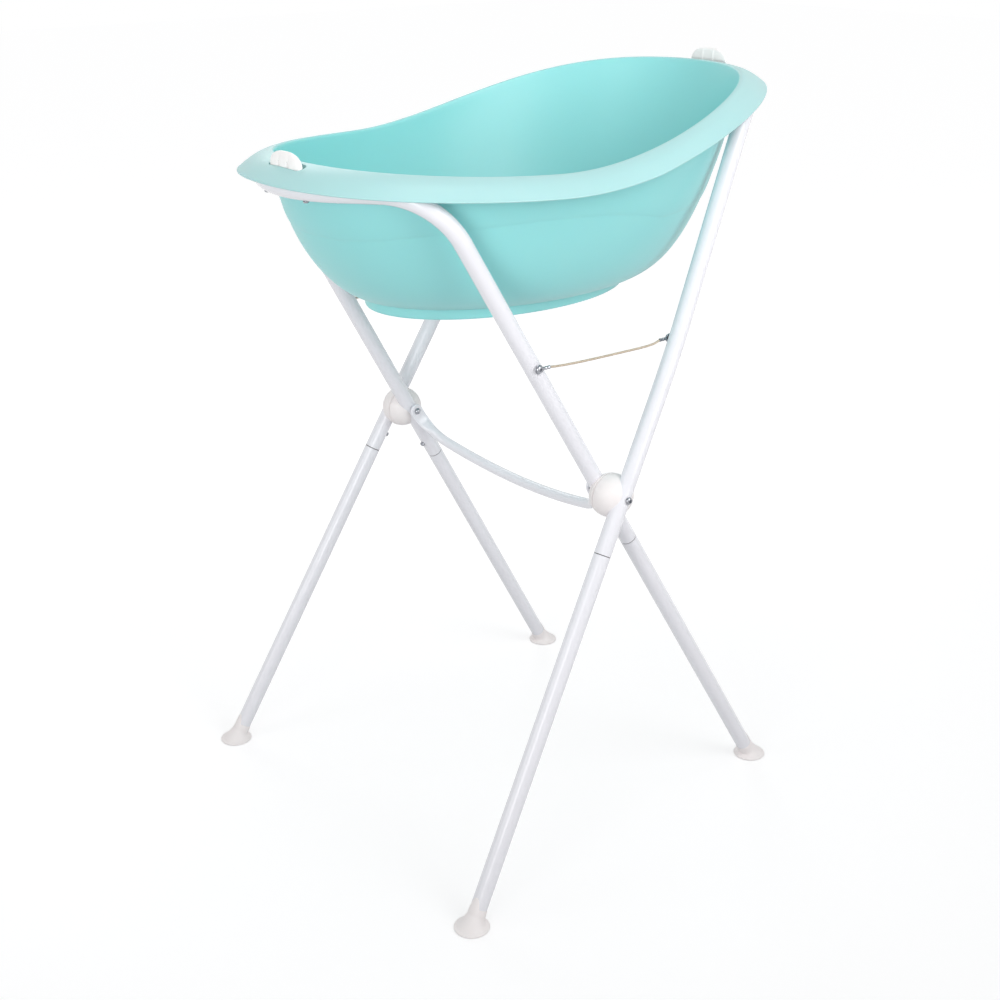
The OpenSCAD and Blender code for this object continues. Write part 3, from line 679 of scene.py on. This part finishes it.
def socket_screw(p, d, r, h, shaft_r, shaft_l):
    """Screw with its head on p, facing d: a domed head with a six-sided socket, and a shaft."""
    k = 0.42 * r
    head = [
        (shaft_r, 0), (r - 0.3, 0), (r, 0.3), (r, 0.35 * h), (0.93 * r, 0.62 * h), (0.8 * r, 0.82 * h),
        (0.62 * r, 0.96 * h), (0.52 * r, h), (k + 0.15, h), (k, h - 0.15), (k, 0.35 * h),
        (0.3 * k, 0.3 * h),
    ]
    shaft = [(shaft_r - 0.3, -shaft_l), (shaft_r, -shaft_l + 0.3)]
    return turned(p, d, shaft + head, six=(11, 12))


def acorn_nut(p, d, r):
    """Six-sided nut with a domed cap, seated on p and facing d."""
    rows = [(r - 0.4, 0), (r, 0.3), (r, 1.4), (r - 0.4, 1.7)]
    rows += [(0.86 * r * math.cos(t), 1.7 + 2.8 * math.sin(t)) for t in np.linspace(0, 1.45, 9)]
    return turned(p, d, rows, six=(0, 1, 2, 3))


bolts = []
nuts = []
for s in (-1, 1):
    way = np.array([0, s, 0.0])
    head = [PIVOT_X, s * HEAD_Y, PIVOT_Z]
    bolts.append(socket_screw(head, way, r=0.84 * HEAD_R, h=3.2, shaft_r=3.8, shaft_l=HEAD_Y - NUT_Y + 0.5))
    nuts.append(acorn_nut([PIVOT_X, s * NUT_Y, PIVOT_Z], -way, r=4.6))
for name, shape, node in (("pivot_screws", bolts, "pivot_bolts"), ("pivot_acorns", nuts, "pivot_nuts")):
    ob = make(name, merged(shape))
    sharpen(ob, 32)
    place(ob, "bright_metal", "pivot_axle", node)


# Pivot bosses: two halves of a ball between the tubes, with a fine groove where they meet
BALL_R = 28.6
BALL_Y = (PIVOT_YA + PIVOT_YB) / 2
BALL_BORE = BOLT_R + 2.4
BALL_DROP = 2.0
BALL_REACH = math.sqrt(BALL_R ** 2 - BALL_BORE ** 2)
SPLIT_Y = PIVOT_YA + TUBE_R + 3.4
SPLIT_GAP = 1.0


def ball_half(s, y0, y1, low):
    """Part of the ball from y0 to y1, bored for the bolt, with the edge at the split rounded."""
    ys = np.linspace(y0, y1, 30)
    skin = [(math.sqrt(max(BALL_R ** 2 - (y - BALL_Y) ** 2, BALL_BORE ** 2)), y) for y in ys]
    if low:
        r = skin[-1][0]
        skin = skin[:-1] + [(r - 0.15, y1 - 0.9), (r - 0.7, y1 - 0.25), (r - 1.5, y1)]
    else:
        r = skin[0][0]
        skin = [(r - 1.5, y0), (r - 0.7, y0 + 0.25), (r - 0.15, y0 + 0.9)] + skin[1:]
    section = [(BALL_BORE, y0)] + [q for q in skin if q[0] > BALL_BORE + 0.01] + [(BALL_BORE, y1)]
    return revolved([PIVOT_X, 0, PIVOT_Z - BALL_DROP], np.array([0, s, 0.0]), section, 96)


for frame_name, y0, y1, low in (
    ("foot_frame", BALL_Y - BALL_REACH, SPLIT_Y - SPLIT_GAP / 2, True),
    ("head_frame", SPLIT_Y + SPLIT_GAP / 2, PIVOT_YB + TUBE_R - 4, False),
):
    ob = make(f"{frame_name}_ball_halves", merged([ball_half(s, y0, y1, low) for s in (-1, 1)]))
    sharpen(ob, 50)
    place(ob, "fitting_plastic", frame_name, f"{frame_name}_bosses")


# Dark rings in the gaps between the frame tubes and their lower legs: painted shade, where the narrow gap
# lies in shadow
SEAM_IN = TUBE_R - 2.0
SEAM_OUT = TUBE_R - 0.3
SEAM = [(SEAM_IN, -1.1), (SEAM_OUT, -1.1), (SEAM_OUT, -0.1), (SEAM_IN, -0.1)]
for frame_name, axis, split in (("foot_frame", axis_a, LEG_SPLIT_A), ("head_frame", axis_b, LEG_SPLIT_B)):
    rings = []
    for s in (-1, 1):
        d = heading(axis, s)
        rings.append(revolved(axis(PIVOT_Z, s) + d * split, d, SEAM))
    ob = make(f"{frame_name}_gap_shade_rings", merged(rings))
    sharpen(ob, 32)
    ob.data.materials.append(gap_shade)
    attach(ob, frame_name)


# Rim catches: a saddle on the loop of the frame, a stem through the slot and a rounded tab above the rim
class Loop:
    """Round end of a frame loop: the side it lies on, its end point, its tilt and its radius."""

    def __init__(self, dx, corner, end_x, plan, tilt):
        plan = math.radians(plan)
        self.dx = dx
        self.tilt = math.radians(tilt)
        away = abs(end_x - corner[0])
        span = (corner[1] * math.tan(plan) - away / math.cos(self.tilt)) / math.tan(plan / 2)
        self.big = span / math.tan(plan)
        self.end = np.array([end_x, 0, corner[2] + away * math.tan(self.tilt)])
        self.out = np.array([dx * math.cos(self.tilt), 0, math.sin(self.tilt)])
        self.up = np.array([-dx * math.sin(self.tilt), 0, math.cos(self.tilt)])
        self.centre = self.end - self.out * self.big

    def point(self, turn, r, h):
        """Point at an angle round the loop, r outwards from the tube's line and h above it."""
        way = self.out * math.cos(turn) + np.array([0, math.sin(turn), 0])
        return self.centre + way * (self.big + r) + self.up * h


FOOT_LOOP = Loop(-1, CORNER_A, FOOT_TIP - 20.6, plan=32.2, tilt=-3.5)
HEAD_LOOP = Loop(1, CORNER_B, HEAD_TIP + 16, plan=54, tilt=4)
SADDLE_CAP = 2.0


def saddle(loop, inside):
    """Cap on the upper inner side of the loop, with rounded edges and ends."""
    bore = TUBE_R + 0.05
    top = TUBE_R + SADDLE_CAP
    far = 3.0
    half = math.asin((SCREW_Y + 7) / loop.big)
    a0 = math.acos(far / bore)
    a1 = math.acos(-inside / bore)
    rows = []
    for turn in half * np.sin(np.linspace(-np.pi / 2, np.pi / 2, 41)):
        left = half - abs(turn)
        k = min(1.0, left / 0.012)
        lid = top - 1.0 * (1 - math.sqrt(1 - (1 - k) ** 2))
        line = [(bore * math.cos(a), bore * math.sin(a)) for a in np.linspace(a0, a1, 18)]
        line += [(-inside, mix(line[-1][1], lid - 1.2, v)) for v in (0.5, 1.0)]
        line += [(-inside + 0.35, lid - 0.35), (-inside + 1.2, lid), (0.0, lid), (far - 1.2, lid)]
        line += [(far - 0.35, lid - 0.35), (far, lid - 1.2)]
        rows.append([loop.point(turn, r, h) for r, h in line])
    return loft(rows)


def tab(loop, tip, off, top, deep):
    """Stem and tab: plan slices that swell from the stem into a rounded shell with two grooves."""
    n = 360
    a = 2 * np.pi * np.arange(n) / n
    dx = loop.dx
    plate = tip + dx * (off + CATCH_T / 2)
    low = loop.end[2] + TUBE_R + 0.8
    base = top - TAB_TALL
    rows = []
    levels = [low, low + 1.0, base - 2.0, base - 0.6]
    levels += list(base + TAB_TALL * np.sin(np.linspace(0.02, np.pi / 2 - 0.02, 60)))
    for z in levels:
        u = max(0.0, (z - base) / TAB_TALL)
        grow = float(ease((z - base + 2.0) / 5.0))
        wide = mix(CATCH_W / 2 - 1.5, TAB_W / 2, grow) * (1 - u ** 3.0) ** 0.42
        thin = (1 - u ** 4.0) ** 0.5
        front = mix(CATCH_T / 2, CATCH_T / 2 + 2.6, grow) * thin
        back = mix(CATCH_T / 2, CATCH_T / 2 + deep, grow) * thin
        y = wide * spow(np.cos(a), 2 / 3.2)
        sn = spow(np.sin(a), 2 / 2.4)
        x = np.where(sn > 0, front, back) * sn
        off_mid = np.abs(y) - GROOVE_Y
        bed = np.exp(-(off_mid / 2.6) ** 2) * (1 - 0.75 * u) * grow
        pit = np.exp(-(off_mid / 1.1) ** 4) * math.exp(-((z - base - 9.5) / 1.2) ** 4)
        rear = np.exp(-(off_mid / 1.5) ** 2) * grow * (1 - u ** 6)
        x = x - np.where(sn > 0.35, 1.3 * bed + 5.0 * pit, 0.0)
        x = x - np.where(sn < -0.35, 0.7 * rear, 0.0)
        rows.append(np.column_stack([plate + dx * x, y, np.full(n, z)]))
    return loft(rows)


def catch_screws(loop):
    """The two screws that hold a catch from below."""
    turn = math.asin(SCREW_Y / loop.big)
    out = []
    for s in (-1, 1):
        p = loop.point(s * turn, 0, 0) - np.array([0, 0, TUBE_R + 0.2])
        out.append(socket_screw(p, np.array([0, 0, -1.0]), r=3.8, h=2.4, shaft_r=2.0, shaft_l=2 * TUBE_R))
    return out


for name, loop, tip, off, high, deep in (
    ("foot", FOOT_LOOP, FOOT_TIP, CATCH_OFF_A, RIM_Z + FOOT_RISE - 3, 1.6),
    ("head", HEAD_LOOP, HEAD_TIP, CATCH_OFF_B, float(ridge_z(HEAD_TIP)), 0.6),
):
    inside = max(9.0, abs(loop.end[0] - tip - loop.dx * off) - 1)
    shape = merged([saddle(loop, inside), tab(loop, tip, off, high + CATCH_H, deep)])
    ob = make(f"{name}_catch_tab", shape)
    sharpen(ob, 50)
    place(ob, "catch_plastic", f"{name}_frame", f"{name}_catch")
    ob = make(f"{name}_loop_screws", merged(catch_screws(loop)))
    sharpen(ob, 32)
    place(ob, "bright_metal", f"{name}_frame", f"{name}_catch_screws")


# Stay cables, each from a ring eye outside the inner tube to one inside the outer tube
LEAN_UP = max(LEAN_B, (KNEE_Y - CORNER_B[1]) / (CORNER_B[2] - KNEE_Z))
EYE_OFF = TUBE_R + 0.6 + EYE_T / 2
CABLE_IN = FERRULE_0 + FERRULE_L
SAG = 4.4
STRANDS = 7
TWIST = 0.42


def cable_ends(s):
    """Middles of the two ring eyes on one side of the stand."""
    a = axis_a(PIVOT_Z + CABLE_R * heading(axis_a, s)[2], s)
    z = PIVOT_Z + CABLE_R * heading(axis_b, s)[2]
    b = axis_b(z, s)
    if z > KNEE_Z:
        knee = axis_b(KNEE_Z, s)
        up = unit(CORNER_B * np.array([1, s, 1]) - knee)
        b = knee + up * ((z - KNEE_Z) / up[2])
    eye_a = np.array([a[0], s * (abs(a[1]) + EYE_OFF + EYE_R * LEAN_A), a[2]])
    eye_b = np.array([b[0], s * (abs(b[1]) - EYE_OFF - EYE_R * LEAN_UP), b[2]])
    return eye_a, eye_b


def ring_eye(p, t):
    """Flat ring with rounded edges, and a crimped sleeve that leaves it along t."""
    edge = 0.45
    hole = 2.55
    half = EYE_T / 2
    section = [
        (hole, -half + edge), (hole + edge, -half), (EYE_R - edge, -half), (EYE_R, -half + edge),
        (EYE_R, half - edge), (EYE_R - edge, half), (hole + edge, half), (hole, half - edge),
    ]
    r = CABLE_D / 2 + 0.7
    sleeve = [(r - 0.4, 0), (r, 0.5), (r, 2.4), (r - 0.35, 3.1), (r - 0.35, 4.3), (r, 5.0), (r, 6.6)]
    sleeve += [(r - 0.35, 7.3), (r - 0.35, 8.5), (r, 9.2), (r, FERRULE_L - 0.6), (r - 0.5, FERRULE_L)]
    ring = revolved(p, np.array([0, 1.0, 0]), section, 48)
    return merged([ring, turned(p + t * FERRULE_0, t, sleeve, n=32)])


def stay_cable(name, s, node):
    """Stranded rope between the ferrules, with a slight sag."""
    eye_a, eye_b = cable_ends(s)
    d = unit(eye_b - eye_a)
    t = np.linspace(0, 1, 81)
    line = mix(eye_a + d * CABLE_IN, eye_b - d * CABLE_IN, t[:, None])
    line[:, 2] -= SAG * (0.68 + 0.32 * t) * (1 - np.exp(-t / 0.14)) * (1 - np.exp((t - 1) / 0.05))
    way = np.gradient(line, axis=0)
    run = np.concatenate([[0], np.cumsum(np.linalg.norm(np.diff(line, axis=0), axis=1))])
    a = 2 * np.pi * np.arange(28) / 28
    rows = []
    for c, w, r in zip(line, way, run):
        u = unit(np.cross([0, 1, 0], w))
        v = np.cross(unit(w), u)
        rad = CABLE_D / 2 * (0.965 + 0.035 * np.cos(STRANDS * a - r * TWIST))
        rows.append(c + np.outer(rad * np.cos(a), u) + np.outer(rad * np.sin(a), v))
    ob = make(name, loft(rows))
    place(ob, "cable_coat", None, node)
    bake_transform(ob)


stay_cable("cable_near_rope", -1, "stay_cable_near")
stay_cable("cable_far_rope", 1, "stay_cable_far")
eyes = {"foot_frame": [], "head_frame": []}
eye_screws = {"foot_frame": [], "head_frame": []}
for s in (-1, 1):
    eye_a, eye_b = cable_ends(s)
    d = unit(eye_b - eye_a)
    way = np.array([0, s, 0.0])
    eyes["foot_frame"].append(ring_eye(eye_a, d))
    eyes["head_frame"].append(ring_eye(eye_b, -d))
    for frame_name, eye, out in (("foot_frame", eye_a, way), ("head_frame", eye_b, -way)):
        p = eye + out * EYE_T / 2
        eye_screws[frame_name].append(socket_screw(p, out, r=5.0, h=2.8, shaft_r=2.45, shaft_l=TUBE_R))
for frame_name in ("foot_frame", "head_frame"):
    for word, shapes in (("eyes", eyes), ("screws", eye_screws)):
        ob = make(f"{frame_name}_stay_{word}", merged(shapes[frame_name]))
        sharpen(ob, 32)
        place(ob, "bright_metal", frame_name, f"{frame_name}_cable_{word}")


# Floor and background: near white to the camera, with a faint shadow of the object left on the floor
def seen(nt):
    """One for camera, mirrored and transmitted rays, and zero for all others."""
    path = nt.nodes.new("ShaderNodeLightPath")
    most = path.outputs["Is Camera Ray"]
    for other in ("Is Glossy Ray", "Is Transmission Ray"):
        m = nt.nodes.new("ShaderNodeMath")
        m.operation = "MAXIMUM"
        nt.links.new(most, m.inputs[0])
        nt.links.new(path.outputs[other], m.inputs[1])
        most = m.outputs[0]
    return most


def shader(nt, kind, colour, strength=None):
    """Shader of one colour."""
    n = nt.nodes.new(kind)
    n.inputs["Color"].default_value = (*colour, 1)
    if strength is not None:
        n.inputs["Strength"].default_value = strength
    return n.outputs[0]


def pick(nt, fac, a, b):
    """Shader a where fac is zero, and b where it is one."""
    n = nt.nodes.new("ShaderNodeMixShader")
    nt.links.new(fac, n.inputs[0])
    nt.links.new(a, n.inputs[1])
    nt.links.new(b, n.inputs[2])
    return n.outputs[0]


FLOOR = 12.0
floor_me = bpy.data.meshes.new("studio_floor")
floor_me.from_pydata([(-FLOOR, -FLOOR, 0), (FLOOR, -FLOOR, 0), (FLOOR, FLOOR, 0), (-FLOOR, FLOOR, 0)],
                     [], [(0, 1, 2, 3)])
floor_ob = bpy.data.objects.new("studio_floor", floor_me)
floor_ob.location.z = -0.0003
scene.collection.objects.link(floor_ob)
floor_mat = bpy.data.materials.new("studio_floor")
floor_mat.use_nodes = True
nt = floor_mat.node_tree
nt.nodes.clear()
both = nt.nodes.new("ShaderNodeAddShader")
nt.links.new(shader(nt, "ShaderNodeBsdfDiffuse", (0.5, 0.5, 0.505)), both.inputs[0])
# The floor's own light grows away from the lamps, so that it looks even
glow = shader(nt, "ShaderNodeEmission", (1, 1, 1))
where = nt.nodes.new("ShaderNodeNewGeometry")
away = nt.nodes.new("ShaderNodeVectorMath")
away.operation = "DISTANCE"
away.inputs[1].default_value = (-0.2, -1.2, 0)
even = nt.nodes.new("ShaderNodeMapRange")
even.interpolation_type = "SMOOTHSTEP"
for name, value in (("From Min", 0.3), ("From Max", 3.8), ("To Min", 0.552), ("To Max", 0.712)):
    even.inputs[name].default_value = value
nt.links.new(where.outputs["Position"], away.inputs[0])
nt.links.new(away.outputs["Value"], even.inputs["Value"])
nt.links.new(even.outputs["Result"], glow.node.inputs["Strength"])
nt.links.new(glow, both.inputs[1])
plain = shader(nt, "ShaderNodeBsdfDiffuse", (0.62, 0.62, 0.63))
out = nt.nodes.new("ShaderNodeOutputMaterial")
nt.links.new(pick(nt, seen(nt), plain, both.outputs[0]), out.inputs["Surface"])
floor_me.materials.append(floor_mat)

world = bpy.data.worlds.new("studio")
scene.world = world
world.use_nodes = True
nt = world.node_tree
nt.nodes.clear()
sky = shader(nt, "ShaderNodeBackground", (1.0, 1.0, 1.0), 0.56)
back = shader(nt, "ShaderNodeBackground", (1, 1, 1), 1.0)
out = nt.nodes.new("ShaderNodeOutputWorld")
nt.links.new(pick(nt, seen(nt), sky, back), out.inputs["Surface"])


# Lamps and camera
def lamp(name, pos, aim, size, watts, beam):
    """Round soft lamp; beam is the full angle of its light in degrees."""
    li = bpy.data.lights.new(name, "AREA")
    li.shape = "DISK"
    li.size = size
    li.energy = watts
    li.spread = math.radians(beam)
    ob = bpy.data.objects.new(name, li)
    ob.location = pos
    ob.rotation_mode = "QUATERNION"
    ob.rotation_quaternion = (Vector(aim) - Vector(pos)).to_track_quat("-Z", "Y")
    scene.collection.objects.link(ob)


lamp("key_high", (0.3, -1.9, 2.55), (0, 0, 1.0), size=1.6, watts=14, beam=180)
lamp("key_low", (0.3, -1.95, 1.4), (0, 0, 1.15), size=1.4, watts=4.1, beam=84)
lamp("fill_low", (-1.9, -1.1, 1.05), (0, 0, 1.1), size=1.1, watts=3.8, beam=84)
lamp("top", (0.0, -0.1, 2.9), (0, 0, 0.8), size=0.9, watts=4, beam=180)
lamp("back", (0.9, 2.4, 2.2), (0, 0, 0.8), size=1.2, watts=8, beam=180)
lamp("fill_far", (-1.7, 0.45, 0.8), (0, 0.22, 0.5), size=0.8, watts=0.65, beam=70)

# Camera as fitted to the photograph: place and line of sight in metres
CAMERA_AT = (-1.2705, -1.4960, 1.2165)
CAMERA_WAY = (0.58693, 0.71363, -0.38243)
camera_data = bpy.data.cameras.new("camera")
camera_data.sensor_fit = "HORIZONTAL"
camera_data.sensor_width = 36
camera_data.lens = 53.68
camera_data.dof.use_dof = False
camera = bpy.data.objects.new("camera", camera_data)
camera.location = CAMERA_AT
camera.rotation_mode = "QUATERNION"
camera.rotation_quaternion = Vector(CAMERA_WAY).to_track_quat("-Z", "Y")
scene.collection.objects.link(camera)
scene.camera = camera
scene.view_settings.view_transform = "Standard"
